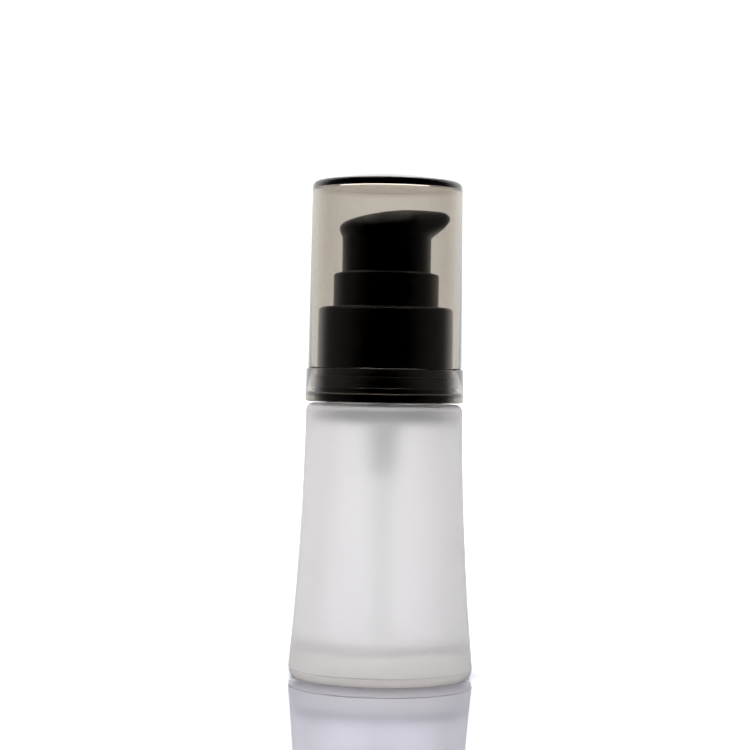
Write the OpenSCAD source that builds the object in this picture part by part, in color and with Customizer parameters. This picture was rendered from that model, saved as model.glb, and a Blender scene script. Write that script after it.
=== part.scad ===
// Foundation bottle: a flared glass bottle with a screw-on treatment pump, a shoulder ring and an overcap.
// Millimetres. +Z is up, the origin is the middle of the foot, and the spout points along +X.

/* [Glass bottle] */
// Height of the glass shoulder above the table
shoulder_z = 54.5; // [52:0.5:60]
// Radius at the heel, where the foot is widest
foot_r = 18.4; // [17.5:0.05:19]
// Radius just under the shoulder corner
shoulder_r = 15.62; // [15.4:0.02:16]
// Height at which the flare would run upright
flare_top_z = 60; // [58:1:80]
// Thickness of the side wall
glass_wall = 2.6; // [2:0.1:2.8]
// Thickness of the base
glass_base = 5.5; // [4:0.1:6.2]
// Rounding of the shoulder corner
shoulder_corner = 1.4; // [0.8:0.1:1.8]

/* [Neck finish] */
// Height of the neck above the shoulder
neck_h = 16.4; // [16:0.1:17]
// Radius of the neck wall between the threads
neck_r = 10.75; // [10.6:0.05:10.85]
// Radius over the thread crests
neck_thread_r = 11.85; // [11.7:0.05:11.9]
// Radius of the bore
neck_bore_r = 7.75; // [7.7:0.01:8]
// Rise of the thread in one turn
thread_pitch = 3.175; // [3.1:0.005:3.3]
// Number of turns on the neck
thread_turns = 1.5; // [1.2:0.05:1.5]

/* [Closure] */
// Radius of the outer shell at its lower edge
shell_r = 13.6; // [13.5:0.05:13.8]
// Radius of the flange that carries the shoulder ring
flange_r = 14.1; // [14.05:0.01:14.15]
// Height of that flange
flange_h = 5; // [4.5:0.1:5.5]
// Radius of the chimney that guides the actuator
chimney_r = 10.55; // [10.5:0.05:11]
// Height of the chimney above the shell's top face
chimney_h = 6.85; // [6.5:0.05:7]

/* [Shoulder ring] */
// Outer radius at the lower edge
ring_r = 15.88; // [15.8:0.02:16.2]
// Height of the ring
ring_h = 6.65; // [6.4:0.05:7]
// Height of its thick lower part
ring_ledge_h = 1.65; // [1.2:0.05:2]

/* [Overcap] */
// Outer radius just above the shoulder ring
cap_r = 15.4; // [15.3:0.02:15.6]
// Outer radius just under the rounded rim
cap_top_r = 15.05; // [14.9:0.01:15.2]
// Height of the crown above the shoulder ring
cap_h = 38.9; // [38.5:0.1:42]
// Thickness of the side wall
cap_wall = 1.1; // [0.9:0.05:1.15]
// Depth of the lip that plugs into the shoulder ring
cap_lip_h = 3.9; // [3:0.1:4.2]
// Rounding of the rim
cap_rim = 1.3; // [0.8:0.1:1.6]
// Rise of the domed top
cap_dome_h = 1.5; // [1:0.1:2]

/* [Actuator] */
// Radius of the skirt
skirt_r = 8.9; // [8.7:0.02:9]
// Reach of the nose from the axis
nose_reach = 12.7; // [11.8:0.1:13]
// Radius of the head behind the skirt
head_r = 9.52; // [9.2:0.02:9.7]
// Height of the head's top above the skirt's lower edge
head_h = 14.4; // [14:0.1:15]
// Radius of the spout channel
spout_r = 0.9; // [0.7:0.05:1]

/* [Pump] */
// Travel of the actuator
stroke = 4.5; // [4:0.1:4.5]
// Radius of the barrel's bore
barrel_r = 3.8; // [3.78:0.01:3.85]
// Radius of the stem
stem_r = 2.2; // [2.18:0.01:2.22]
// Outer radius of the dip tube
tube_r = 2; // [1.9:0.02:2.1]
// Radius of the check ball
ball_r = 1.6; // [1.5:0.02:1.65]
// Lift of the check ball
ball_lift = 0.8; // [0.5:0.1:0.8]
// Wire radius of the return spring
wire_r = 0.3; // [0.25:0.01:0.32]
// Turns of the return spring
spring_turns = 6.5; // [5:0.5:6.5]

/* [Hidden] */

// Glass
heel_h = 1.9;                 // height of the crease above the heel
heel_r = foot_r - 1.2;        // outer edge of the flat that rests on the table
seat_r = 13.6;                // inner edge of that flat
push_up = 0.8;                // depth of the hollow under the foot
shoulder_t = 2.2;              // thickness of the glass shoulder
inner_corner = 2.6;           // rounding inside, at the floor and under the shoulder
lip_z = shoulder_z + neck_h;

// Closure, upwards from the shoulder
closure_gap = 0.4;            // daylight between the glass shoulder and the closure
closure_z = shoulder_z + closure_gap;
flange_z = closure_z + flange_h;
gasket_t = 0.6;
plate_t = 0.8;                // housing flange, closure plate and shell plate are all this thick
housing_z = lip_z + gasket_t;
plate_z = housing_z + plate_t;
shell_z = plate_z + plate_t;
deck_z = shell_z + plate_t;   // top face of the shell
rim_z = deck_z + chimney_h;
skin_gap = 0.05;              // between the closure and its shell
closure_bore_r = 12.1;
closure_wall_r = 12.9;
liner_r = 9.1;                // bore of the chimney
liner_wall = 0.55;
liner_step = 0.25;            // how far the liner stands above the shell's rim
closure_thread_r = 11.05;     // crests of the closure's thread
thread_z = lip_z - 7.3;       // middle of the neck thread where it starts
neck_ridge_w = [2.2, 0.9];    // width of the neck's thread at its root and at its crest
closure_ridge_w = [2, 0.8];   // the same for the closure's thread

// Shoulder ring and overcap
ring_z = closure_z - 0.05;
ring_top_z = ring_z + ring_h;
ring_draft = 0.14;            // how much narrower the ring is at its top
ring_wall = 0.72;             // thickness of its thin upper part, at the top
lip_gap = 0.07;               // between the overcap's lip and the ring
lip_wall = 0.58;
crown_z = ring_top_z + cap_h;
cap_edge_z = crown_z - cap_dome_h;
cap_top_t = 1.5;              // thickness of the overcap's top

// Pump, downwards from the chaplet
barrel_t = 0.9;
sleeve_z = plate_z - 1.8;     // lower end of the chaplet's sleeve, which stops the stem
stop_gap = 0.05;
snap_r = 7.4;                 // inside of the housing's upstand, which the chaplet's wall snaps into
collar_h = 0.8;
collar_z = sleeve_z - stop_gap - collar_h;
piston_slip = 0.6;            // lost motion that opens the valve
piston_z1 = collar_z - stop_gap - piston_slip;
piston_h = 5.6;
piston_z = piston_z1 - piston_h;
core_z = piston_z - 1.35;     // underside of the piston core
spring_h = 8.95;
cage_z1 = core_z - stop_gap - spring_h;
cage_t = 1;
cage_z = cage_z1 - cage_t;    // floor of the barrel
seat_z = cage_z - 5.1;        // lower end of the ball's seat
tube_top_z = seat_z - 0.7;
socket_h = 5.7;
intake_r = 1;
chamber_r = 2.2;              // ball chamber
ball_gap = 0.05;              // between the ball and its seat at rest
ball_z = seat_z + ball_r * sqrt(2) - intake_r + ball_gap;
stem_low_z = piston_z + 1.6;
stem_bore_r = 1.2;
stem_top_z = rim_z + 4.25;

// Actuator
skirt_z = deck_z + stroke + 0.4;
skirt_wall = 1;
head_z = skirt_z + 9.1;       // where the skirt ends and the head begins
head_top_z = skirt_z + head_h;
hollow_z = head_z - 0.4;      // ceiling of the hollow under the head
socket_top_z = stem_top_z + stop_gap;
post_r = 3.4;
spout_z = head_top_z - 2.45;
nose_r = 2.4;                 // rounding of the nose in plan
nose_x = nose_reach - nose_r;
crest_x = 8.5;                // the top runs level from here to the nose
top_arc_r = 62;               // curve of the top behind that point
edge_w = 2.4;                 // width of the rounding along the top edge
back_wide_h = 1.3;            // height of the widest line above the skirt, without the nose
nose_wide_h = 2.6;            // how much higher that line is at the nose

black = [0.02, 0.02, 0.022];
natural = [0.88, 0.88, 0.85];
smoky = [0.5, 0.46, 0.42, 0.45];

// ---- shared shapes ----

// Points of an arc from angle a0 to a1, with its own radius each way.
function arc(cx, cy, rx, ry, a0, a1, n = 8) =
    [for (i = [0:n]) let (a = a0 + (a1 - a0) * i / n) [cx + rx * cos(a), cy + ry * sin(a)]];

// Radius of the flared flank at a height, and points down or up it, moved inwards by inset.
function flank_r(z) =
    let (low = pow(flare_top_z - heel_h, 2), high = pow(flare_top_z - shoulder_z + shoulder_corner, 2))
    shoulder_r + (foot_r - shoulder_r) * (pow(flare_top_z - z, 2) - high) / (low - high);
function flank(z0, z1, inset, n = 16) =
    [for (i = [0:n]) let (z = z0 + (z1 - z0) * i / n) [flank_r(z) - inset, z]];

module lathe(outline) rotate_extrude($fn = 128) polygon(outline);

module tube(r, bore, z0, z1)
    translate([0, 0, z0])
        difference() {
            cylinder(r = r, h = z1 - z0, $fn = 96);
            translate([0, 0, -1]) cylinder(r = bore, h = z1 - z0 + 2, $fn = 96);
        }

// Triangles that close a strip of equal rings with both ends capped. Each ring runs anticlockwise in radius and
// height, and the strip advances anticlockwise about +Z.
function strip_faces(rings, sides) = concat(
    [for (i = [0:rings - 2], k = [0:sides - 1])
        let (a = i * sides + k, b = i * sides + (k + 1) % sides) each [[a, b + sides, a + sides], [a, b, b + sides]]],
    [[for (k = [sides - 1:-1:0]) k]],
    [[for (k = [0:sides - 1]) (rings - 1) * sides + k]]
);

// A helical thread ridge. It stands outwards where crest_r is the larger, and fades out at both ends.
module thread_ridge(root_r, crest_r, ridge_w, z0) {
    turns = thread_turns;
    steps = ceil(turns * 60);
    ramp = 30;
    sink = 0.3;
    way = crest_r > root_r ? 1 : -1;
    points = [for (i = [0:steps])
        let (
            a = 360 * turns * i / steps,
            z = z0 + thread_pitch * a / 360,
            full = min(1, a / ramp, (360 * turns - a) / ramp),
            base = root_r - way * sink,
            crest = root_r + (crest_r - root_r) * full - way * sink * (1 - full) / 2
        )
        for (p = [[base, -ridge_w[0]], [crest, -ridge_w[1]], [crest, ridge_w[1]], [base, ridge_w[0]]])
            [p[0] * cos(a), p[0] * sin(a), z + way * p[1] / 2]];
    polyhedron(points, strip_faces(steps + 1, 4));
}

// ---- glass ----

module glass_bottle()
    color([0.86, 0.87, 0.88, 0.6]) {
        corner_z = shoulder_z - shoulder_corner;
        ceiling_z = shoulder_z - shoulder_t;
        bore_corner = 1.5;
        neck_fillet = 0.8;
        lip_corner = 0.6;
        top_corner_z = ceiling_z - inner_corner;
        floor_corner_z = glass_base + inner_corner;
        lathe(concat(
            [[0, push_up], [seat_r - 2, push_up], [seat_r, 0]],
            arc(heel_r, heel_h, foot_r - heel_r, heel_h, -90, 0),
            flank(heel_h, corner_z, 0),
            arc(shoulder_r - shoulder_corner, corner_z, shoulder_corner, shoulder_corner, 0, 90),
            arc(neck_r + neck_fillet, shoulder_z + neck_fillet, neck_fillet, neck_fillet, 270, 180, 4),
            arc(neck_r - lip_corner, lip_z - lip_corner, lip_corner, lip_corner, 0, 90, 4),
            arc(neck_bore_r + lip_corner, lip_z - lip_corner, lip_corner, lip_corner, 90, 180, 4),
            arc(neck_bore_r + bore_corner, ceiling_z + bore_corner, bore_corner, bore_corner, 180, 270, 5),
            arc(flank_r(top_corner_z) - glass_wall - inner_corner, top_corner_z,
                inner_corner, inner_corner, 90, 0),
            flank(top_corner_z, floor_corner_z, glass_wall),
            arc(flank_r(floor_corner_z) - glass_wall - inner_corner, floor_corner_z,
                inner_corner, inner_corner, 0, -90),
            [[0, glass_base]]
        ));
        thread_ridge(neck_r, neck_thread_r, neck_ridge_w, thread_z);
    }

// ---- closure ----

module neck_gasket()
    color([0.92, 0.92, 0.9]) tube(neck_r - 0.1, neck_bore_r, lip_z, housing_z);

module screw_closure()
    color(black) {
        edge = 0.3;
        liner_out_r = liner_r + liner_wall;
        liner_z = rim_z + liner_step;
        liner_edge = 0.2;
        lathe(concat(
            [[closure_bore_r, closure_z]],
            arc(flange_r - edge, closure_z + edge, edge, edge, -90, 0, 3),
            arc(flange_r - edge, flange_z - edge, edge, edge, 0, 90, 3),
            [[closure_wall_r, flange_z], [closure_wall_r, shell_z], [liner_out_r, shell_z]],
            arc(liner_out_r - liner_edge, liner_z - liner_edge, liner_edge, liner_edge, 0, 90, 3),
            [[liner_r, liner_z], [liner_r, plate_z], [closure_bore_r, plate_z]]
        ));
        thread_ridge(closure_bore_r, closure_thread_r, closure_ridge_w, thread_z - thread_pitch / 2);
    }

module closure_shell()
    color(black) {
        edge = 0.7;
        low_edge = 0.1;
        rim_edge = 0.35;
        draft = 0.1;
        bore_r = liner_r + liner_wall + skin_gap;
        lathe(concat(
            [[closure_wall_r + skin_gap, flange_z], [shell_r - low_edge, flange_z], [shell_r, flange_z + low_edge]],
            arc(shell_r - draft - edge, deck_z - edge, edge, edge, 0, 90, 6),
            [[chimney_r, deck_z]],
            arc(chimney_r - rim_edge, rim_z - rim_edge, rim_edge, rim_edge, 0, 90, 4),
            [[bore_r, rim_z], [bore_r, shell_z], [closure_wall_r + skin_gap, shell_z]]
        ));
    }

module shoulder_ring()
    color(smoky) {
        edge = 0.35;
        top_edge = 0.25;
        top_r = ring_r - ring_draft;
        ledge_z = ring_z + ring_ledge_h;
        lathe(concat(
            [[flange_r, ring_z]],
            arc(ring_r - edge, ring_z + edge, edge, edge, -90, 0, 5),
            arc(top_r - top_edge, ring_top_z - top_edge, top_edge, top_edge, 0, 90, 3),
            [[top_r - ring_wall, ring_top_z], [top_r - ring_wall, ledge_z], [flange_r, ledge_z]]
        ));
    }

// ---- overcap ----

module overcap()
    color(smoky) {
        lip_r = ring_r - ring_draft - ring_wall - lip_gap;
        lip_in = lip_r - lip_wall;
        lip_low_z = ring_top_z - cap_lip_h;
        lip_edge = 0.25;
        inner_r = cap_r - cap_wall;
        inner_top_r = cap_top_r - cap_wall;
        rim_r = cap_top_r - cap_rim;
        rim_low_z = cap_edge_z - cap_rim;
        dome_r = (pow(rim_r, 2) + pow(cap_dome_h, 2)) / (2 * cap_dome_h);
        ceiling_z = cap_edge_z - cap_top_t;
        ceiling_corner = 0.8;
        dome_angle = asin(rim_r / dome_r);
        lathe(concat(
            [[lip_in, lip_low_z], [lip_r - lip_edge, lip_low_z], [lip_r, lip_low_z + lip_edge],
             [lip_r, ring_top_z]],
            arc(cap_r - lip_edge, ring_top_z + lip_edge, lip_edge, lip_edge, -90, 0, 3),
            arc(rim_r, rim_low_z, cap_rim, cap_rim, 0, 90 - dome_angle, 8),
            arc(0, crown_z - dome_r, dome_r, dome_r, 90 - dome_angle, 90, 12),
            arc(0, crown_z - cap_top_t - dome_r, dome_r, dome_r, 90, 90 - dome_angle * 0.95, 10),
            arc(inner_top_r - ceiling_corner, ceiling_z - ceiling_corner, ceiling_corner, ceiling_corner,
                80, 0, 4),
            [[inner_r, ring_top_z + 0.6], [lip_in, ring_top_z]]
        ));
    }

// ---- pump body ----

module pump_housing()
    color(natural)
        difference() {
            chamber_wall_r = chamber_r + 0.9;
            plug_r = neck_bore_r - 0.15;
            barrel_out_r = barrel_r + barrel_t;
            upstand_r = snap_r + 1;
            upstand_z = plate_z + 1.3;
            rim_r = neck_r - 0.2;
            plug_wall = 0.6;
            seat_rise = chamber_r - intake_r;
            socket_z = tube_top_z - socket_h;
            tube_gap = 0.02;
            vent_r = 0.4;
            lathe([
                [tube_r + tube_gap, socket_z], [tube_r + tube_gap, tube_top_z], [intake_r, tube_top_z],
                [intake_r, seat_z], [chamber_r, seat_z + seat_rise], [chamber_r, cage_z], [barrel_r, cage_z],
                [barrel_r, plate_z], [snap_r, plate_z], [snap_r, upstand_z], [upstand_r, upstand_z],
                [upstand_r, plate_z], [rim_r, plate_z], [rim_r, housing_z], [plug_r, housing_z],
                [plug_r - 0.1, housing_z - 2], [plug_r - 0.1 - plug_wall, housing_z - 2],
                [plug_r - 0.1 - plug_wall, housing_z], [barrel_out_r + 0.4, housing_z],
                [barrel_out_r, housing_z - 0.4], [barrel_out_r, cage_z + 0.5],
                [chamber_wall_r, cage_z - 1.6], [chamber_wall_r, seat_z - 0.4],
                [tube_r + 0.95, seat_z - 0.6], [tube_r + 0.8, socket_z]
            ]);
            // vent that lets air in behind the piston
            translate([0, 0, piston_z + piston_h / 2]) rotate([90, 0, 0]) cylinder(r = vent_r, h = 10, $fn = 32);
        }

module chaplet()
    color(natural) {
        sleeve_r = barrel_r - 0.1;
        bore_r = stem_r + 0.1;
        wall_r = snap_r - 0.1;
        wall_in_r = wall_r - 0.6;
        wall_z = plate_z + 1.6;
        disc_z = plate_z + 0.9;
        guide_r = bore_r + 0.8;
        guide_z = plate_z + 1.8;
        lathe([
            [bore_r, sleeve_z], [sleeve_r, sleeve_z], [sleeve_r, plate_z], [wall_r, plate_z],
            [wall_r, wall_z], [wall_in_r, wall_z], [wall_in_r, disc_z], [guide_r, disc_z],
            [guide_r, guide_z], [bore_r, guide_z]
        ]);
    }

module dip_tube()
    color(natural)
        difference() {
            tube_wall = 0.7;
            foot_z = glass_base + 0.8;
            tube(tube_r, tube_r - tube_wall, foot_z, tube_top_z);
            // oblique cut, so that the tube can't seal against the floor
            translate([tube_r, 0, foot_z]) rotate([0, 60, 0]) cube([2, 6, 6], center = true);
        }

module ball_cage()
    color(natural) {
        pin_r = 0.9;
        pin_z = ball_z + ball_r + ball_lift + ball_gap;
        port_r = 0.5;
        port_x = (pin_r + chamber_r) / 2;
        difference() {
            translate([0, 0, cage_z]) cylinder(r = barrel_r - 0.02, h = cage_t, $fn = 96);
            for (a = [0:90:270])
                rotate(a) translate([port_x, 0, cage_z - 1]) cylinder(r = port_r, h = cage_t + 2, $fn = 32);
        }
        translate([0, 0, pin_z]) cylinder(r = pin_r, h = cage_z - pin_z + 0.2, $fn = 48);
    }

module check_ball()
    color([0.75, 0.76, 0.78]) translate([0, 0, ball_z]) sphere(r = ball_r, $fn = 64);

// The coil's pitch is nearly closed over the last turn at each end.
module return_spring() {
    coil_r = barrel_r - wire_r - 0.6;
    per_turn = 28;
    sides = 10;
    steps = round(spring_turns * per_turn);
    dead = wire_r * 2 + 0.02;
    rise = spring_h - 2 * wire_r;
    open_pitch = (rise - 2 * dead) / (spring_turns - 2);
    function coil_z(t) =
        t < 1 ? dead * t :
        t > spring_turns - 1 ? rise - dead * (spring_turns - t) :
        dead + open_pitch * (t - 1);
    points = [for (i = [0:steps])
        let (t = i / per_turn, a = 360 * t)
        for (k = [0:sides - 1])
            let (b = 360 * k / sides, r = coil_r + wire_r * cos(b))
            [r * cos(a), r * sin(a), cage_z1 + wire_r + coil_z(t) + wire_r * sin(b)]];
    color([0.7, 0.71, 0.73]) polyhedron(points, strip_faces(steps + 1, sides));
}

// ---- plunger ----

module piston()
    color(natural) {
        lip_r = barrel_r - 0.04;
        waist_r = barrel_r - 0.45;
        waist_end = 1.3;        // from each end of the piston to its waist
        lip_start = 0.3;
        lip_end = 0.7;
        mouth_r = 2.55;         // where it closes on the core
        pocket_r = 2.75;
        seal_r = stem_r + 0.04;
        seal_h = 0.8;
        lathe([
            [mouth_r, piston_z], [lip_r - 0.2, piston_z], [lip_r, piston_z + lip_start],
            [lip_r, piston_z + lip_end], [waist_r, piston_z + waist_end], [waist_r, piston_z1 - waist_end],
            [lip_r, piston_z1 - lip_end], [lip_r, piston_z1 - lip_start], [lip_r - 0.2, piston_z1],
            [seal_r, piston_z1], [seal_r, piston_z1 - seal_h], [pocket_r, piston_z1 - seal_h - 0.4],
            [pocket_r, piston_z + 0.4]
        ]);
    }

module piston_core()
    color(natural) {
        disc_r = 3.2;
        disc_t = 0.5;
        cone_h = 1;
        seal_z = piston_z - 0.5;     // edge of the cone that closes the piston
        rod_r = 1.5;
        plug_r = stem_bore_r - 0.02;
        plug_z = stem_low_z + 1.8;   // top of the plug in the stem
        lathe([
            [0, core_z], [disc_r, core_z], [disc_r, core_z + disc_t], [disc_r - 0.2, seal_z],
            [rod_r + 0.5, seal_z + cone_h], [rod_r, seal_z + cone_h], [rod_r, stem_low_z],
            [plug_r, stem_low_z], [plug_r, plug_z], [0, plug_z]
        ]);
    }

module stem()
    color(natural) {
        collar_r = 2.9;
        port_r = 0.5;
        port_z = stem_low_z + 2.4;
        difference() {
            union() {
                translate([0, 0, stem_low_z]) cylinder(r = stem_r, h = stem_top_z - stem_low_z, $fn = 96);
                translate([0, 0, collar_z]) cylinder(r = collar_r, h = collar_h, $fn = 96);
            }
            translate([0, 0, stem_low_z - 1]) cylinder(r = stem_bore_r, h = stem_top_z, $fn = 64);
            for (a = [0:90:270])
                translate([0, 0, port_z]) rotate([0, 90, a]) cylinder(r = port_r, h = stem_r + 1, $fn = 32);
        }
    }

// ---- actuator ----

// Distance from the axis to the head's outline in plan, which runs straight from its round back to its nose.
function plan_r(a) =
    let (
        turn = abs(a > 180 ? 360 - a : a),
        leave = acos((head_r - nose_r) / nose_x),
        line = head_r / cos(turn - leave),
        nose = nose_x * cos(turn) + sqrt(max(0, pow(nose_r, 2) - pow(nose_x * sin(turn), 2))),
        nose_end = atan2(nose_r * sin(leave), nose_x + nose_r * cos(leave))
    )
    turn > leave ? head_r : turn > nose_end ? line : nose;

// Height of the top surface, which falls away towards the back.
function top_z(x) = head_top_z - pow(max(0, crest_x - x), 2) / (2 * top_arc_r);

// One radial section through the head, from inside the skirt up to near the axis.
function head_section(a) =
    let (
        reach = plan_r(a),
        out = reach - skirt_r,
        full = nose_reach - skirt_r,
        wide_z = head_z + back_wide_h + nose_wide_h * out / full,
        edge_r = reach - edge_w,
        edge_z = top_z(edge_r * cos(a))
    )
    concat(
        [[skirt_r - 0.3, head_z - 0.2]],
        [for (t = [0.1:0.15:0.9]) [skirt_r + out * sin(90 * pow(t, 1.2)), head_z + (wide_z - head_z) * t]],
        [for (b = [0:15:90]) [edge_r + edge_w * cos(b), wide_z + (edge_z - wide_z) * sin(b)]],
        [for (f = [0.7, 0.4, 0.12]) [edge_r * f, top_z(edge_r * f * cos(a))]]
    );

module head_form() {
    spokes = 72;
    sections = [for (i = [0:spokes - 1]) head_section(360 * i / spokes)];
    levels = len(sections[0]);
    points = [for (j = [0:levels - 1], i = [0:spokes - 1])
        let (p = sections[i][j], a = 360 * i / spokes) [p[0] * cos(a), p[0] * sin(a), p[1]]];
    lid = levels * spokes;
    polyhedron(
        concat(points, [[0, 0, head_z - 0.2], [0, 0, top_z(0)]]),
        concat(
            [for (j = [0:levels - 2], i = [0:spokes - 1])
                let (a = j * spokes + i, b = j * spokes + (i + 1) % spokes)
                each [[a, a + spokes, b + spokes], [a, b + spokes, b]]],
            [for (i = [0:spokes - 1]) [i, (i + 1) % spokes, lid]],
            [for (i = [0:spokes - 1]) [lid - spokes + (i + 1) % spokes, lid - spokes + i, lid + 1]]
        )
    );
}

module actuator_head()
    color(black)
        difference() {
            union() {
                head_form();
                translate([0, 0, skirt_z]) cylinder(r = skirt_r, h = head_z - skirt_z + 0.1, $fn = 128);
            }
            difference() {
                translate([0, 0, skirt_z - 1])
                    cylinder(r = skirt_r - skirt_wall, h = hollow_z - skirt_z + 1, $fn = 128);
                translate([0, 0, skirt_z]) cylinder(r = post_r, h = head_h, $fn = 96);
            }
            // socket for the stem, riser and spout channel
            translate([0, 0, skirt_z - 1]) cylinder(r = stem_r + 0.02, h = socket_top_z - skirt_z + 1, $fn = 96);
            translate([0, 0, skirt_z]) cylinder(r = spout_r, h = spout_z - skirt_z, $fn = 64);
            translate([0, 0, spout_z]) rotate([0, 90, 0]) cylinder(r = spout_r, h = nose_reach + 1, $fn = 64);
        }

glass_bottle();
neck_gasket();
pump_housing();
chaplet();
dip_tube();
check_ball();
ball_cage();
return_spring();
piston();
piston_core();
stem();
actuator_head();
screw_closure();
closure_shell();
shoulder_ring();
overcap();
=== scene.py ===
"""Looks of the foundation bottle: frosted flask, black treatment pump, smoky ring and overcap.

Outlines are half sections in millimetres, and lathe() turns them into metres. Main radii and heights come
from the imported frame.
"""

import math
from functools import partial

import bmesh
import bpy
from mathutils import Matrix, Vector


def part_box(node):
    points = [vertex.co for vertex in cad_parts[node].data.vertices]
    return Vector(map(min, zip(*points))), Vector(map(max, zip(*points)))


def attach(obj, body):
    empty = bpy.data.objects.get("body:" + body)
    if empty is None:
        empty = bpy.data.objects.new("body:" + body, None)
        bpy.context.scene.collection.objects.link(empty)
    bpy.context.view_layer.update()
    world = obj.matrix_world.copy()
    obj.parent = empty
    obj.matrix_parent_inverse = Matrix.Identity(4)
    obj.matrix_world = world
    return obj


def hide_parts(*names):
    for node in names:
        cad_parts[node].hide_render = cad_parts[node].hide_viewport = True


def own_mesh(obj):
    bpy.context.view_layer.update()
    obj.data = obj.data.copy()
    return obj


MM = 0.001
SHARP_ANGLE = 32                       # degrees, above which an edge of a turned piece stays sharp

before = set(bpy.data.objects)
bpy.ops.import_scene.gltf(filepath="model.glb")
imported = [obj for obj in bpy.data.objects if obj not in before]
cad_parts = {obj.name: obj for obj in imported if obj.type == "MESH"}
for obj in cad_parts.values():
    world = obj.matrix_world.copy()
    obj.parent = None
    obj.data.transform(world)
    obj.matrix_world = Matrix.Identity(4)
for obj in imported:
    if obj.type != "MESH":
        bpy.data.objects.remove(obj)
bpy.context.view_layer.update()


# ---------------------------------------------------------------- frame sizes, in millimetres

def reach(node):
    """Radius of a node about the Z axis. It is measured across Y, so that the head's nose isn't counted."""
    low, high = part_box(node)
    return max(-low.y, high.y) / MM


def foot(node):
    """Lowest height of a node."""
    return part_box(node)[0].z / MM


def top(node):
    """Highest height of a node."""
    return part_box(node)[1].z / MM


LIP_Z = top("glass_bottle")
RING_Z = foot("shoulder_ring")
RING_TOP = top("shoulder_ring")
CLOSURE_Z = foot("screw_closure")
FLANGE_Z = foot("closure_shell")
PLATE_Z = LIP_Z + 1.4                  # underside of the closure's plate
SHELL_PLATE_Z = PLATE_Z + 0.8          # underside of the shell's plate
DECK_Z = PLATE_Z + 1.6                 # its top face, which the chimney stands on
THREAD_PITCH = 3.175
THREAD_Z = LIP_Z - 7.3                 # middle of the neck thread where it starts
THREAD_TURNS = 1.5
THREAD_FADE = 0.5                      # radians over which the thread rises and dies away
NECK_R = 10.75
CLOSURE_BORE = 12.1
FOOT_R = reach("glass_bottle")
SHOULDER_R = 15.62
SHOULDER_Z = LIP_Z - 16.4
CORNER_R = 1.4                         # rounding of the shoulder's edge
HEEL_Z = 1.9
UPRIGHT_Z = 60                         # height at which the flank's parabola would stand upright
RING_DRAFT = 0.14                      # how much narrower the shoulder ring is at its top
RING_WALL = 0.72                       # thickness of its thin upper part
LIP_GAP = 0.07                         # between the overcap's lip and the ring


# ---------------------------------------------------------------- mesh helpers

def rounded(corners, steps=5):
    """The outline through (r, z, rounding) corners, with an arc at each but the ends that has a rounding."""
    points = []
    for i, (r, z, radius) in enumerate(corners):
        here = Vector((r, z))
        if radius == 0 or i in (0, len(corners) - 1):
            points.append(here)
            continue
        to_last = (Vector(corners[i - 1][:2]) - here).normalized()
        to_next = (Vector(corners[i + 1][:2]) - here).normalized()
        half = to_last.angle(to_next) / 2
        run = radius / math.tan(half)
        centre = here + (to_last + to_next).normalized() * (radius / math.sin(half))
        start = here + to_last * run - centre
        end = here + to_next * run - centre
        turn = start.angle_signed(end)
        for k in range(steps + 1):
            points.append(centre + turned(start, -turn * k / steps))
    return points


def turned(v, angle):
    """A 2D vector turned anticlockwise."""
    c, s = math.cos(angle), math.sin(angle)
    return Vector((v.x * c - v.y * s, v.x * s + v.y * c))


def lathe(name, outline, segments=256, closed=True):
    """A round piece: the outline turned about Z.

    An outline item is a point or, for what isn't round, a function that gives the point at an angle. A
    closed outline joins its last point to its first, and an open one starts and ends on the axis.
    """
    mesh = bpy.data.meshes.new(name)
    piece = bpy.data.objects.new(name, mesh)
    bpy.context.scene.collection.objects.link(piece)
    bm = bmesh.new()
    rings = []
    for item in outline:
        if not callable(item) and item[0] < 1e-6:
            rings.append([bm.verts.new((0, 0, item[1] * MM))] * segments)
            continue
        ring = []
        for k in range(segments):
            angle = 2 * math.pi * k / segments
            r, z = item(angle) if callable(item) else item
            ring.append(bm.verts.new((r * math.cos(angle) * MM, r * math.sin(angle) * MM, z * MM)))
        rings.append(ring)
    pairs = list(zip(rings, rings[1:]))
    if closed:
        pairs.append((rings[-1], rings[0]))
    for low, high in pairs:
        for k in range(segments):
            m = (k + 1) % segments
            corners = list(dict.fromkeys((low[k], low[m], high[m], high[k])))
            if len(corners) > 2:
                bm.faces.new(corners)
    bmesh.ops.recalc_face_normals(bm, faces=bm.faces)
    bm.to_mesh(mesh)
    bm.free()
    mesh.polygons.foreach_set("use_smooth", [True] * len(mesh.polygons))
    mesh.set_sharp_from_angle(angle=math.radians(SHARP_ANGLE))
    return piece


def arc(cr, cz, radius, start, end, steps=12):
    """Points of an arc in the half section, angles in degrees."""
    angles = [math.radians(start + (end - start) * k / steps) for k in range(steps + 1)]
    return [Vector((cr + radius * math.cos(a), cz + radius * math.sin(a))) for a in angles]


def thread_height(z, angle, start_z, half_root, half_crest):
    """How far a helical ridge stands up at a point of a wall, from 0 to 1."""
    end = 2 * math.pi * THREAD_TURNS
    best = 0
    for lap in range(math.ceil(THREAD_TURNS)):
        a = angle + 2 * math.pi * lap
        if a > end:
            continue
        away = abs(z - start_z - THREAD_PITCH * a / (2 * math.pi))
        side = min(1, max(0, (half_root - away) / (half_root - half_crest)))
        fade = min(1, a / THREAD_FADE, (end - a) / THREAD_FADE)
        best = max(best, side * fade)
    return best


def threaded_wall(r, tenths, start_z, ridge_h, half_root, half_crest):
    """Outline items of a wall with a helical ridge, one for each height, in tenths of a millimetre.

    A negative ridge_h makes a ridge that stands inwards.
    """
    def row(z, angle):
        return r + ridge_h * thread_height(z, angle, start_z, half_root, half_crest), z

    return [partial(row, tenth / 10) for tenth in tenths]


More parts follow.
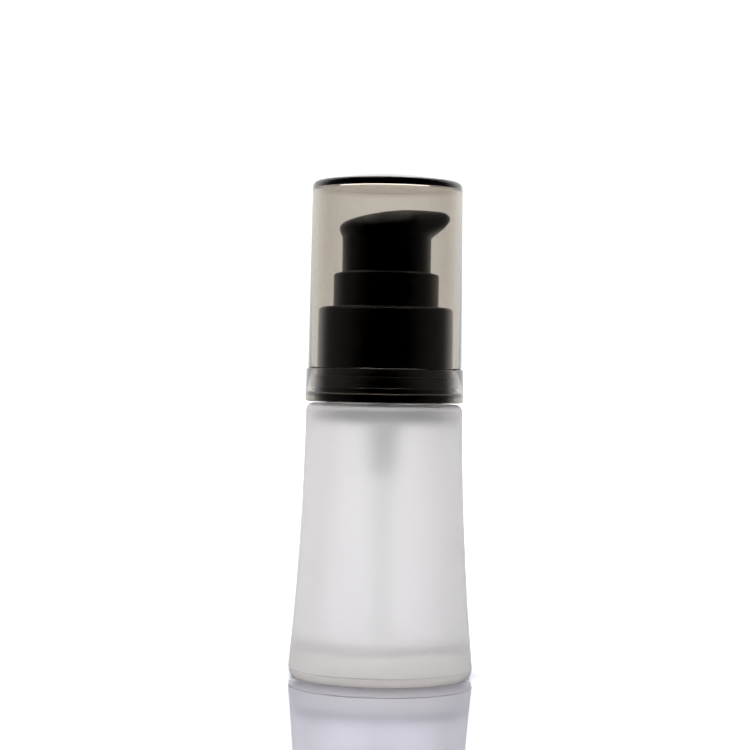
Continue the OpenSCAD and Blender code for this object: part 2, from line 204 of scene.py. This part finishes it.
def finish_piece(piece, node, body, material):
    """Gives a piece its material, and puts it in place of a CAD node on that node's body."""
    piece.data.materials.append(material)
    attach(piece, body)
    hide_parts(node)
    return piece


# ---------------------------------------------------------------- material helpers

def new_material(name):
    """An empty node material and its node tree."""
    material = bpy.data.materials.new(name)
    material.use_nodes = True
    tree = material.node_tree
    tree.nodes.clear()
    return material, tree


def add(tree, kind, **values):
    """A node with its sockets set by name, and its properties by lower-case name."""
    node = tree.nodes.new(kind)
    for key, value in values.items():
        if hasattr(node, key):
            setattr(node, key, value)
        else:
            node.inputs[key.replace("_", " ")].default_value = value
    return node


def place_on(tree, stretch=(1, 1, 1)):
    """The piece's own coordinates, in metres. A stretch under 1 draws a pattern out along that axis."""
    place = tree.nodes.new("ShaderNodeTexCoord")
    scaled = add(tree, "ShaderNodeMapping")
    scaled.inputs["Scale"].default_value = stretch
    tree.links.new(place.outputs["Object"], scaled.inputs["Vector"])
    return scaled.outputs["Vector"]


def noise(tree, scale, detail=3.0, stretch=(1, 1, 1)):
    """Noise over the piece."""
    node = add(tree, "ShaderNodeTexNoise", Scale=scale, Detail=detail, Roughness=0.55)
    tree.links.new(place_on(tree, stretch), node.inputs["Vector"])
    return node.outputs["Fac"]


def specks(tree, scale, size):
    """Sparse small specks: 1 in a speck and 0 elsewhere. size is their share of the pattern's cell."""
    node = add(tree, "ShaderNodeTexVoronoi", Scale=scale)
    tree.links.new(place_on(tree), node.inputs["Vector"])
    near = add(tree, "ShaderNodeMapRange", From_Min=size, From_Max=size * 0.5, To_Min=0.0, To_Max=1.0)
    tree.links.new(node.outputs["Distance"], near.inputs["Value"])
    return near.outputs["Result"]


def spread(tree, factor, low, high, start=0.3, end=0.7):
    """Maps a factor from start to end onto values from low to high, and holds them beyond."""
    node = add(tree, "ShaderNodeMapRange", From_Min=start, From_Max=end, To_Min=low, To_Max=high)
    tree.links.new(factor, node.inputs["Value"])
    return node.outputs["Result"]


def bump(tree, factor, strength, distance):
    """A bump from a factor. distance is in millimetres."""
    node = add(tree, "ShaderNodeBump", Strength=strength, Distance=distance * MM)
    tree.links.new(factor, node.inputs["Height"])
    return node.outputs["Normal"]


def tint(tree, factor, dark, light):
    """A colour that runs from dark to light with a factor."""
    node = add(tree, "ShaderNodeMix", data_type="RGBA")
    tree.links.new(factor, node.inputs["Factor"])
    first, second = [socket for socket in node.inputs if socket.type == "RGBA"]
    first.default_value = (*dark, 1)
    second.default_value = (*light, 1)
    return next(socket for socket in node.outputs if socket.type == "RGBA")


def maths(tree, operation, *values):
    """A maths node. Each value is a number or a socket."""
    node = add(tree, "ShaderNodeMath", operation=operation)
    for socket, value in zip(node.inputs, values):
        set_or_link(tree, socket, value)
    return node.outputs["Value"]


def pick(tree, factor, at_zero, at_one):
    """A number that goes from at_zero to at_one with the factor. Each is a number or a socket."""
    node = tree.nodes.new("ShaderNodeMix")
    tree.links.new(factor, node.inputs["Factor"])
    set_or_link(tree, node.inputs["A"], at_zero)
    set_or_link(tree, node.inputs["B"], at_one)
    return node.outputs["Result"]


def set_or_link(tree, socket, value):
    """Gives a socket a number, or joins another socket to it."""
    if isinstance(value, bpy.types.NodeSocket):
        tree.links.new(value, socket)
    else:
        socket.default_value = value


def principled(tree, **values):
    """The surface shader, joined to the output."""
    shader = add(tree, "ShaderNodeBsdfPrincipled", **values)
    output = tree.nodes.new("ShaderNodeOutputMaterial")
    tree.links.new(shader.outputs["BSDF"], output.inputs["Surface"])
    return shader, output


# ---------------------------------------------------------------- materials

def frosted_glass():
    """Flask glass, faintly warm in its body, which shows in the deep base.

    It is acid-frosted outside, with a fine tooth and patches of deeper etch, and smooth inside, as the
    mesh's "etched" attribute says.
    """
    material, tree = new_material("frosted_glass")
    shader, output = principled(tree, IOR=1.5, Transmission_Weight=0.8)
    streaks = noise(tree, 120, 2, stretch=(1, 1, 0.12))
    tree.links.new(tint(tree, streaks, (0.93, 0.925, 0.93), (1, 0.99, 0.99)), shader.inputs["Base Color"])
    etched = add(tree, "ShaderNodeAttribute", attribute_name="etched").outputs["Fac"]
    etch_depth = spread(tree, noise(tree, 160), 0.4, 0.46)
    tree.links.new(maths(tree, "MULTIPLY_ADD", etched, etch_depth, 0.12), shader.inputs["Roughness"])
    tree.links.new(bump(tree, noise(tree, 9000, 2), 0.1, 0.02), shader.inputs["Normal"])
    inside = add(tree, "ShaderNodeVolumeAbsorption", Color=(0.5, 0.43, 0.3, 1), Density=24.0)
    tree.links.new(inside.outputs["Volume"], output.inputs["Volume"])
    return material


def smoky_plastic():
    """Clear warm-grey plastic: polished, with small specks, and darker the further light runs in it."""
    material, tree = new_material("smoky_plastic")
    shader, output = principled(tree, IOR=1.53, Transmission_Weight=1.0)
    tree.links.new(spread(tree, noise(tree, 600, 4), 0.0, 0.05, 0.55, 0.75), shader.inputs["Roughness"])
    speckled = tint(tree, specks(tree, 330, 0.07), (1, 1, 1), (0.45, 0.43, 0.4))
    tree.links.new(speckled, shader.inputs["Base Color"])
    tree.links.new(bump(tree, noise(tree, 140, 1), 0.05, 0.03), shader.inputs["Normal"])
    inside = add(tree, "ShaderNodeVolumeAbsorption", Color=(0.4, 0.335, 0.24, 1), Density=625.0)
    tree.links.new(inside.outputs["Volume"], output.inputs["Volume"])
    return material


def black_plastic():
    """Moulded black polypropylene: near black, satin from a fine spark-eroded mould."""
    material, tree = new_material("black_plastic")
    shader, _ = principled(tree, IOR=1.49, Specular_IOR_Level=0.2)
    colour = tint(tree, noise(tree, 300), (0.003, 0.003, 0.0032), (0.0042, 0.004, 0.004))
    tree.links.new(colour, shader.inputs["Base Color"])
    tree.links.new(spread(tree, noise(tree, 700), 0.3, 0.34), shader.inputs["Roughness"])
    tree.links.new(bump(tree, noise(tree, 6000, 2), 0.03, 0.01), shader.inputs["Normal"])
    return material


def moulded_plastic(name, dark, light, rough, clear=0.0):
    """Moulded or extruded plastic, faintly mottled. clear is the share of light that passes through."""
    material, tree = new_material(name)
    shader, _ = principled(tree, IOR=1.5, Transmission_Weight=clear)
    tree.links.new(tint(tree, noise(tree, 250), dark, light), shader.inputs["Base Color"])
    tree.links.new(spread(tree, noise(tree, 500), rough - 0.06, rough + 0.06), shader.inputs["Roughness"])
    tree.links.new(bump(tree, noise(tree, 4000, 2), 0.1, 0.02), shader.inputs["Normal"])
    return material


def steel(name, low, high):
    """Stainless steel, faintly mottled, with a fine grain. Its roughness runs from low to high."""
    material, tree = new_material(name)
    shader, _ = principled(tree, Metallic=1.0)
    grey = tint(tree, noise(tree, 900), (0.5, 0.5, 0.51), (0.66, 0.66, 0.67))
    tree.links.new(grey, shader.inputs["Base Color"])
    tree.links.new(spread(tree, noise(tree, 1500), low, high), shader.inputs["Roughness"])
    tree.links.new(bump(tree, noise(tree, 5000, 2), 0.1, 0.01), shader.inputs["Normal"])
    return material


FROSTED = frosted_glass()
SMOKY = smoky_plastic()
BLACK = black_plastic()
NATURAL = moulded_plastic("natural_plastic", (0.74, 0.74, 0.7), (0.84, 0.84, 0.81), 0.3, 0.85)
PISTON = moulded_plastic("piston_plastic", (0.84, 0.84, 0.84), (0.92, 0.92, 0.92), 0.36)
TUBE = moulded_plastic("tube_plastic", (0.9, 0.91, 0.9), (0.96, 0.97, 0.96), 0.2, 0.95)
FOAM = moulded_plastic("liner_foam", (0.8, 0.8, 0.78), (0.9, 0.9, 0.88), 0.7)
SPRING = steel("spring_steel", 0.22, 0.34)
BALL = steel("ball_steel", 0.08, 0.14)


# ---------------------------------------------------------------- glass bottle

def flank_radius(z):
    """Radius of the flared flank, which follows a parabola between the heel and the shoulder."""
    low, high = (UPRIGHT_Z - HEEL_Z) ** 2, (UPRIGHT_Z - SHOULDER_Z + CORNER_R) ** 2
    return SHOULDER_R + (FOOT_R - SHOULDER_R) * ((UPRIGHT_Z - z) ** 2 - high) / (low - high)


def flank(z0, z1, inset, steps=40):
    """Points along the flank, moved inwards."""
    heights = [z0 + (z1 - z0) * k / steps for k in range(steps + 1)]
    return [Vector((flank_radius(z) - inset, z)) for z in heights]


def make_bottle():
    """The flask and its threaded neck, frosted outside and clear inside."""
    heel_w = 1.2
    push_up, seat_r = 0.8, 13.6        # hollow under the foot, and the inner edge of what it stands on
    wall, base = 2.6, 5.5
    bore, ceiling = 7.75, SHOULDER_Z - 2.2
    neck_fillet, lip_corner, bore_corner = 0.8, 0.6, 1.5
    inner = 2.6                        # rounding inside, at the floor and under the shoulder
    top_corner = ceiling - inner
    floor_corner = base + inner
    crease = 0.25                      # depth and height of the moulded crease above the foot
    heel_h = HEEL_Z - crease
    heel = []
    for k in range(16):
        a = math.radians(6 * k)
        heel_r = FOOT_R - heel_w + (heel_w - crease / 3) * math.sin(a)
        heel.append(Vector((heel_r, heel_h * (1 - math.cos(a)))))
    heel.append(Vector((FOOT_R - crease, HEEL_Z - crease / 2)))
    neck_rows = range(int(SHOULDER_Z * 10) + 12, int(LIP_Z * 10) - 6)
    neck = threaded_wall(NECK_R, neck_rows, THREAD_Z, ridge_h=1.1, half_root=1.1, half_crest=0.45)
    seat = [(0, push_up, 0), (seat_r - 2, push_up, 1.5), (seat_r, 0, 0.8), (FOOT_R - heel_w - 0.1, 0, 0)]
    corner_z = SHOULDER_Z - CORNER_R
    outer = (
        rounded(seat)
        + heel + flank(HEEL_Z, corner_z, 0)
        + arc(flank_radius(corner_z) - CORNER_R, corner_z, CORNER_R, 0, 90)[1:]
        + arc(NECK_R + neck_fillet, SHOULDER_Z + neck_fillet, neck_fillet, 270, 180, 6) + neck
        + arc(NECK_R - lip_corner, LIP_Z - lip_corner, lip_corner, 0, 90, 6)
    )
    inside = (
        arc(bore + lip_corner, LIP_Z - lip_corner, lip_corner, 90, 180, 6)
        + arc(bore + bore_corner, ceiling + bore_corner, bore_corner, 180, 270, 8)
        + arc(flank_radius(top_corner) - wall - inner, top_corner, inner, 90, 0, 14)
        + flank(top_corner, floor_corner, wall)[1:]
        + arc(flank_radius(floor_corner) - wall - inner, floor_corner, inner, 0, -90, 14)[1:]
        + [Vector((0, base))]
    )
    piece = lathe("flask", outer + inside, closed=False)
    finish_piece(piece, "glass_bottle", "bottle", FROSTED)
    etched = piece.data.attributes.new("etched", "FLOAT", "POINT")
    for vertex, value in zip(piece.data.vertices, etched.data):
        r, z = math.hypot(vertex.co.x, vertex.co.y) / MM, vertex.co.z / MM
        in_bore = r < bore + 0.3 and z > base - 0.1
        in_flask = base - 0.1 < z < SHOULDER_Z - 1 and r < flank_radius(z) - wall / 2
        value.value = not (in_bore or in_flask)
    return piece


# ---------------------------------------------------------------- ring and overcap

def make_ring():
    """The shoulder ring: thick where it grips the closure's flange, and thin round the overcap's lip."""
    outer, low_in = reach("shoulder_ring"), reach("screw_closure")
    ledge_h = 1.65
    ledge = RING_Z + ledge_h
    top_r = outer - RING_DRAFT
    thin_in = top_r - RING_WALL
    outline = rounded([
        (low_in, ledge - 0.8, 0), (low_in, RING_Z, 0.12), (outer, RING_Z, 0.35), (top_r, RING_TOP, 0.3),
        (thin_in, RING_TOP, 0.25), (thin_in, ledge, 0.35), (low_in, ledge, 0.2),
        (low_in, ledge - 0.8, 0),
    ])
    piece = lathe("tinted_ring", outline[:-1])
    return finish_piece(piece, "shoulder_ring", "closure", SMOKY)


def make_overcap():
    """The overcap: a drafted tube with a rebated lip below and a rounded rim under a shallow dome."""
    low_r, top_r = reach("overcap"), 15.05
    crown, lip_foot = top("overcap"), foot("overcap")
    dome_rise, rim, wall, roof = 1.5, 1.3, 1.1, 1.5
    rim_r = top_r - rim
    edge_z = crown - dome_rise
    dome_r = (rim_r ** 2 + dome_rise ** 2) / (2 * dome_rise)
    half = math.degrees(math.asin(rim_r / dome_r))
    lip_out = reach("shoulder_ring") - RING_DRAFT - RING_WALL - LIP_GAP
    lip_wall = 0.58
    lip_in = lip_out - lip_wall
    inner_top = top_r - wall
    roof_z = crown - roof - dome_r
    skirt = rounded([
        (low_r - wall, RING_TOP + 0.6, 0), (lip_in, RING_TOP, 0.3), (lip_in, lip_foot, 0.2),
        (lip_out, lip_foot, 0.28), (lip_out, RING_TOP, 0.05), (low_r, RING_TOP, 0.25),
        (top_r, edge_z - rim, 0),
    ])
    dome = arc(0, crown - dome_r, dome_r, 90 - half, 90, 30)
    dome[-1] = Vector((0, crown))
    ceiling = arc(0, roof_z, dome_r, 90, 90 - half * 0.93, 30)
    ceiling[0] = Vector((0, crown - roof))
    corner = rounded([(ceiling[-1].x, ceiling[-1].y, 0), (inner_top, ceiling[-1].y - 0.15, 0.7),
                      (low_r - wall, RING_TOP + 0.6, 0)], 8)
    outer = skirt + arc(rim_r, edge_z - rim, rim, 0, 90 - half, 14)[1:] + dome[1:]
    # from the crown down the outside and up the inside, so that both ends are on the axis
    outline = outer[::-1] + (ceiling + corner[1:-1])[::-1][:-1] + [Vector((0, crown - roof))]
    piece = lathe("tinted_overcap", outline, closed=False)
    return finish_piece(piece, "overcap", "cap", SMOKY)


# ---------------------------------------------------------------- closure

def make_shell():
    """The black outer shell: a drafted skirt, a flat deck and the chimney."""
    low_r, rim_z, chimney = reach("closure_shell"), top("closure_shell"), 10.55
    bore, wall_in = 9.7, 12.95
    outline = rounded([
        (wall_in, FLANGE_Z + 1, 0), (wall_in, FLANGE_Z, 0.05), (low_r, FLANGE_Z, 0.12),
        (low_r - 0.1, DECK_Z, 0.7), (chimney, DECK_Z, 0.15), (chimney, rim_z, 0.35), (bore, rim_z, 0.08),
        (bore, SHELL_PLATE_Z, 0), (wall_in, SHELL_PLATE_Z, 0), (wall_in, FLANGE_Z + 1, 0),
    ], 6)
    piece = lathe("outer_shell", outline[:-1])
    return finish_piece(piece, "closure_shell", "closure", BLACK)


def make_closure():
    """The threaded closure inside the shell, with the ring's flange and the chimney's liner."""
    flange_r, liner_z = reach("screw_closure"), top("screw_closure")
    wall_r, liner_out, liner_in = 12.9, 9.65, 9.1
    bore_rows = range(int(PLATE_Z * 10) - 1, int(CLOSURE_Z * 10) + 2, -1)
    start_z = THREAD_Z - THREAD_PITCH / 2
    bore = threaded_wall(CLOSURE_BORE, bore_rows, start_z, ridge_h=-1.05, half_root=1.0, half_crest=0.4)
    outline = rounded([
        (CLOSURE_BORE, CLOSURE_Z, 0), (flange_r, CLOSURE_Z, 0.3), (flange_r, FLANGE_Z, 0.3),
        (wall_r, FLANGE_Z, 0), (wall_r, SHELL_PLATE_Z, 0), (liner_out, SHELL_PLATE_Z, 0),
        (liner_out, liner_z, 0.2), (liner_in, liner_z, 0.15), (liner_in, PLATE_Z, 0),
        (CLOSURE_BORE, PLATE_Z, 0),
    ])
    piece = lathe("threaded_closure", outline + bore)
    return finish_piece(piece, "screw_closure", "closure", BLACK)


# ---------------------------------------------------------------- actuator

SKIRT_R = 8.9
SKIRT_Z = foot("actuator_head")
HEAD_Z = SKIRT_Z + 9.1
HEAD_TOP = top("actuator_head")
NOSE_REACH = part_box("actuator_head")[1].x / MM
BACK_R = reach("actuator_head")
NOSE_R = 2.4
SPOUT_R = 0.9
SPOUT_Z = HEAD_TOP - 2.45
EDGE_W = 2.4                           # width of the rounding along the top edge
BACK_WIDE_H = 1.3                      # height of the widest line above the skirt, without the nose
NOSE_WIDE_H = 2.6                      # how much higher that line is at the nose
CREST_X = 8.5                          # the top runs level from here to the nose
TOP_ARC_R = 62                         # curve of the top behind that point


def plan_radius(angle):
    """Distance from the axis to the head's outline in plan, which runs straight from back to nose."""
    turn = abs((angle + math.pi) % (2 * math.pi) - math.pi)
    nose_x = NOSE_REACH - NOSE_R
    leave = math.acos((BACK_R - NOSE_R) / nose_x)
    nose_end = math.atan2(NOSE_R * math.sin(leave), nose_x + NOSE_R * math.cos(leave))
    if turn > leave:
        return BACK_R
    if turn > nose_end:
        return BACK_R / math.cos(turn - leave)
    return nose_x * math.cos(turn) + math.sqrt(max(0, NOSE_R ** 2 - (nose_x * math.sin(turn)) ** 2))


def top_height(x):
    """Height of the top surface, which falls away towards the back."""
    return HEAD_TOP - max(0, CREST_X - x) ** 2 / (2 * TOP_ARC_R)


def head_point(level, angle):
    """A point of the head's skin. level goes to 1 up the underside, 2 round the edge and 3 over the top."""
    plan = plan_radius(angle)
    out = plan - SKIRT_R
    wide_z = HEAD_Z + BACK_WIDE_H + NOSE_WIDE_H * out / (NOSE_REACH - SKIRT_R)
    edge_r = plan - EDGE_W
    if level <= 1:
        return SKIRT_R + out * math.sin(math.pi / 2 * level ** 1.2), HEAD_Z + (wide_z - HEAD_Z) * level
    if level <= 2:
        b = math.pi / 2 * (level - 1)
        edge_z = top_height(edge_r * math.cos(angle))
        return edge_r + EDGE_W * math.cos(b), wide_z + (edge_z - wide_z) * math.sin(b)
    r = edge_r * (3 - level)
    return r, top_height(r * math.cos(angle))


def make_actuator():
    """The pump head: skirt, stem socket and riser inside, and the nose with its spout."""
    post_r, hollow_z, socket_r = 3.4, HEAD_Z - 0.4, 2.22
    stem_top = top("stem")
    inside = rounded([
        (0, SPOUT_Z + SPOUT_R, 0), (SPOUT_R, SPOUT_Z + SPOUT_R, 0), (SPOUT_R, stem_top + 0.05, 0),
        (socket_r, stem_top + 0.05, 0), (socket_r, SKIRT_Z, 0.1), (post_r, SKIRT_Z, 0.1),
        (post_r, hollow_z, 0.3), (SKIRT_R - 1, hollow_z, 0.4), (SKIRT_R - 1, SKIRT_Z, 0.1),
        (SKIRT_R, SKIRT_Z, 0.15), (SKIRT_R, HEAD_Z - 0.3, 0),
    ], 4)
    levels = [k / 16 for k in range(33)] + [2 + k / 12 for k in range(1, 12)]
    skin = [partial(head_point, level) for level in levels]
    piece = lathe("pump_head", inside + skin + [Vector((0, top_height(0)))], 192, closed=False)
    channel = rounded([(0, 0, 0), (SPOUT_R, 0, 0), (SPOUT_R, NOSE_REACH + 1, 0), (0, NOSE_REACH + 1, 0)])
    cutter = lathe("spout_cutter", channel, 48, closed=False)
    lay_down = Matrix.Rotation(math.pi / 2, 4, "Y")
    cutter.data.transform(Matrix.Translation((0, 0, SPOUT_Z * MM)) @ lay_down)
    cut = piece.modifiers.new("spout", "BOOLEAN")
    cut.object = cutter
    cut.operation = "DIFFERENCE"
    cut.solver = "EXACT"
    bake_modifiers(piece)
    bpy.data.objects.remove(cutter)
    return finish_piece(piece, "actuator_head", "actuator", BLACK)


def bake_modifiers(piece):
    """Applies a piece's modifiers to its mesh."""
    graph = bpy.context.evaluated_depsgraph_get()
    made = bpy.data.meshes.new_from_object(piece.evaluated_get(graph))
    piece.modifiers.clear()
    piece.data = made


# ---------------------------------------------------------------- return spring

def make_spring():
    """The return coil, closed at both ends."""
    low, high = foot("return_spring"), top("return_spring")
    outer = reach("return_spring")
    wire, turns, per_turn, sides = 0.3, 6.5, 48, 14
    coil_r = outer - wire
    dead = 2 * wire + 0.02
    rise = high - low - 2 * wire
    pitch = (rise - 2 * dead) / (turns - 2)
    bm = bmesh.new()
    rings = []
    for i in range(int(turns * per_turn) + 1):
        t = i / per_turn
        if t < 1:
            z = dead * t
        elif t > turns - 1:
            z = rise - dead * (turns - t)
        else:
            z = dead + pitch * (t - 1)
        a = 2 * math.pi * t
        ring = []
        for k in range(sides):
            b = 2 * math.pi * k / sides
            r = coil_r + wire * math.cos(b)
            ring.append(bm.verts.new((r * math.cos(a) * MM, r * math.sin(a) * MM,
                                      (low + wire + z + wire * math.sin(b)) * MM)))
        rings.append(ring)
    for low_ring, high_ring in zip(rings, rings[1:]):
        for k in range(sides):
            m = (k + 1) % sides
            bm.faces.new((low_ring[k], low_ring[m], high_ring[m], high_ring[k]))
    bm.faces.new(rings[0])
    bm.faces.new(rings[-1])
    bmesh.ops.recalc_face_normals(bm, faces=bm.faces)
    mesh = bpy.data.meshes.new("coil")
    bm.to_mesh(mesh)
    bm.free()
    mesh.polygons.foreach_set("use_smooth", [len(p.vertices) == 4 for p in mesh.polygons])
    piece = bpy.data.objects.new("coil", mesh)
    bpy.context.scene.collection.objects.link(piece)
    finish_piece(piece, "return_spring", "pump_body", SPRING)
    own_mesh(piece)
    return piece


# ---------------------------------------------------------------- carried-over CAD nodes

NODE_MATERIALS = {
    "neck_gasket": FOAM,
    "pump_housing": NATURAL,
    "chaplet": NATURAL,
    "dip_tube": TUBE,
    "check_ball": BALL,
    "ball_cage": NATURAL,
    "piston": PISTON,
    "piston_core": NATURAL,
    "stem": NATURAL,
}


def dress_nodes():
    """Gives each CAD node that stays its material."""
    for name, material in NODE_MATERIALS.items():
        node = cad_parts[name]
        node.data.materials.clear()
        node.data.materials.append(material)


# ---------------------------------------------------------------- studio

def mixed(tree, factor, first, second):
    """A mix of two shaders: all first at 0 and all second at 1."""
    node = tree.nodes.new("ShaderNodeMixShader")
    tree.links.new(factor, node.inputs["Fac"])
    tree.links.new(first, node.inputs[1])
    tree.links.new(second, node.inputs[2])
    return node.outputs["Shader"]


def distance_from(tree, point, stretch=(1, 1, 1)):
    """Distance from a point, in stretched coordinates."""
    node = add(tree, "ShaderNodeVectorMath", operation="DISTANCE")
    tree.links.new(place_on(tree, stretch), node.inputs[0])
    node.inputs[1].default_value = point
    return node.outputs["Value"]


def make_floor():
    """A pale sheet that fades into the white backdrop, with a polished strip in front of the object.

    The camera sees more mirror in the strip the lower it looks along it. The object sees the whole sheet as
    a mirror, so that little light comes up from below.
    """
    size = 0.4
    mesh = bpy.data.meshes.new("floor")
    corners = [(-size, -size, 0), (size, -size, 0), (size, size, 0), (-size, size, 0)]
    mesh.from_pydata(corners, [], [(0, 1, 2, 3)])
    floor = bpy.data.objects.new("floor", mesh)
    bpy.context.scene.collection.objects.link(floor)
    material, tree = new_material("floor_sheet")
    pale = add(tree, "ShaderNodeBsdfDiffuse", Color=(0.45, 0.45, 0.455, 1)).outputs[0]
    gloss = add(tree, "ShaderNodeBsdfGlossy", Color=(0.73, 0.735, 0.825, 1), Roughness=0.03).outputs[0]
    clear = tree.nodes.new("ShaderNodeBsdfTransparent").outputs[0]
    slant = add(tree, "ShaderNodeLayerWeight", Blend=0.5).outputs["Facing"]
    polish = spread(tree, slant, 0.1, 0.95, 0.68, 0.82)
    strip = spread(tree, distance_from(tree, (0, -0.05, 0), (2.5, 1, 1)), 1.0, 0.0, 0.055, 0.075)
    to_camera = tree.nodes.new("ShaderNodeLightPath").outputs["Is Camera Ray"]
    mirror = pick(tree, to_camera, 0.95, maths(tree, "MULTIPLY", polish, strip))
    fade = spread(tree, distance_from(tree, (0, 0, 0)), 0.0, 1.0, 0.15, 0.35)
    sheet = mixed(tree, fade, mixed(tree, mirror, pale, gloss), clear)
    output = tree.nodes.new("ShaderNodeOutputMaterial")
    tree.links.new(sheet, output.inputs["Surface"])
    mesh.materials.append(material)


def make_world():
    """White backdrop behind the object, a little light from the sides, and dark on the camera's side.

    Seen past the object the studio is plain white. Seen straight through clear pieces its dark side is lit
    too, so that they aren't black from behind.
    """
    world = bpy.data.worlds.new("studio")
    bpy.context.scene.world = world
    world.use_nodes = True
    tree = world.node_tree
    tree.nodes.clear()
    way = tree.nodes.new("ShaderNodeSeparateXYZ")
    tree.links.new(tree.nodes.new("ShaderNodeTexCoord").outputs["Generated"], way.inputs[0])
    x, y, z = way.outputs
    backdrop = add(tree, "ShaderNodeMapRange", From_Min=0.12, From_Max=0.75, To_Min=0.015, To_Max=1.38)
    backdrop.interpolation_type = "SMOOTHSTEP"
    tree.links.new(y, backdrop.inputs["Value"])
    around = maths(tree, "MULTIPLY_ADD", maths(tree, "MULTIPLY", x, x), 0.15, backdrop.outputs["Result"])
    path = tree.nodes.new("ShaderNodeLightPath")
    # the two depths differ by one on a ray that has only passed through things
    straight = maths(tree, "COMPARE", path.outputs["Ray Depth"], path.outputs["Transmission Depth"], 1.1)
    low = spread(tree, z, 1.0, 0.0, 0.0, 0.12)
    ahead = spread(tree, y, 1.3, 0.0, -0.75, -0.12)
    lit = maths(tree, "MULTIPLY_ADD", maths(tree, "MULTIPLY", straight, low), ahead, around)
    back = add(tree, "ShaderNodeBackground", Color=(1, 1, 1, 1))
    tree.links.new(pick(tree, path.outputs["Is Camera Ray"], lit, 1.35), back.inputs["Strength"])
    output = tree.nodes.new("ShaderNodeOutputWorld")
    tree.links.new(back.outputs[0], output.inputs["Surface"])


def make_light(name, size, energy, mirrored):
    """A round soft box above and a little in front. mirrored says whether glossy surfaces show it."""
    data = bpy.data.lights.new(name, "AREA")
    data.shape = "DISK"
    data.size = size
    data.energy = energy
    data.color = (0.98, 0.982, 1.0)
    light = bpy.data.objects.new(name, data)
    bpy.context.scene.collection.objects.link(light)
    light.location = (-0.06, -0.2, 0.9)
    aim = Vector((0, 0, 0.04)) - light.location
    light.rotation_euler = aim.to_track_quat("-Z", "Y").to_euler()
    light.visible_glossy = mirrored


def make_camera():
    """A long lens just above the ring's level, 0.46 m in front, tilted down and rolled a little."""
    data = bpy.data.cameras.new("camera")
    camera = bpy.data.objects.new("camera", data)
    bpy.context.scene.collection.objects.link(camera)
    data.lens = 109.9
    data.sensor_width = 36
    data.clip_start = 0.01
    camera.location = (-0.002, -0.458, 0.063)
    tilt, roll = 0.35, 0.94
    camera.rotation_euler = (math.radians(90 - tilt), math.radians(-roll), 0)
    bpy.context.scene.camera = camera


def set_view():
    """Plain colours with the blacks cut a little, and enough bounces for clear plastic and glass."""
    scene = bpy.context.scene
    view = scene.view_settings
    view.view_transform = "Standard"
    view.use_curve_mapping = True
    view.curve_mapping.black_level = (0.005, 0.005, 0.005)
    view.curve_mapping.update()
    scene.cycles.max_bounces = 20
    scene.cycles.transmission_bounces = 20


set_view()
make_world()
make_light("soft_box", 1.8, 45.0, False)
make_light("sheen_box", 1.4, 9.0, True)
make_camera()
make_floor()
make_bottle()
make_ring()
make_overcap()
make_shell()
make_closure()
make_actuator()
make_spring()
dress_nodes()
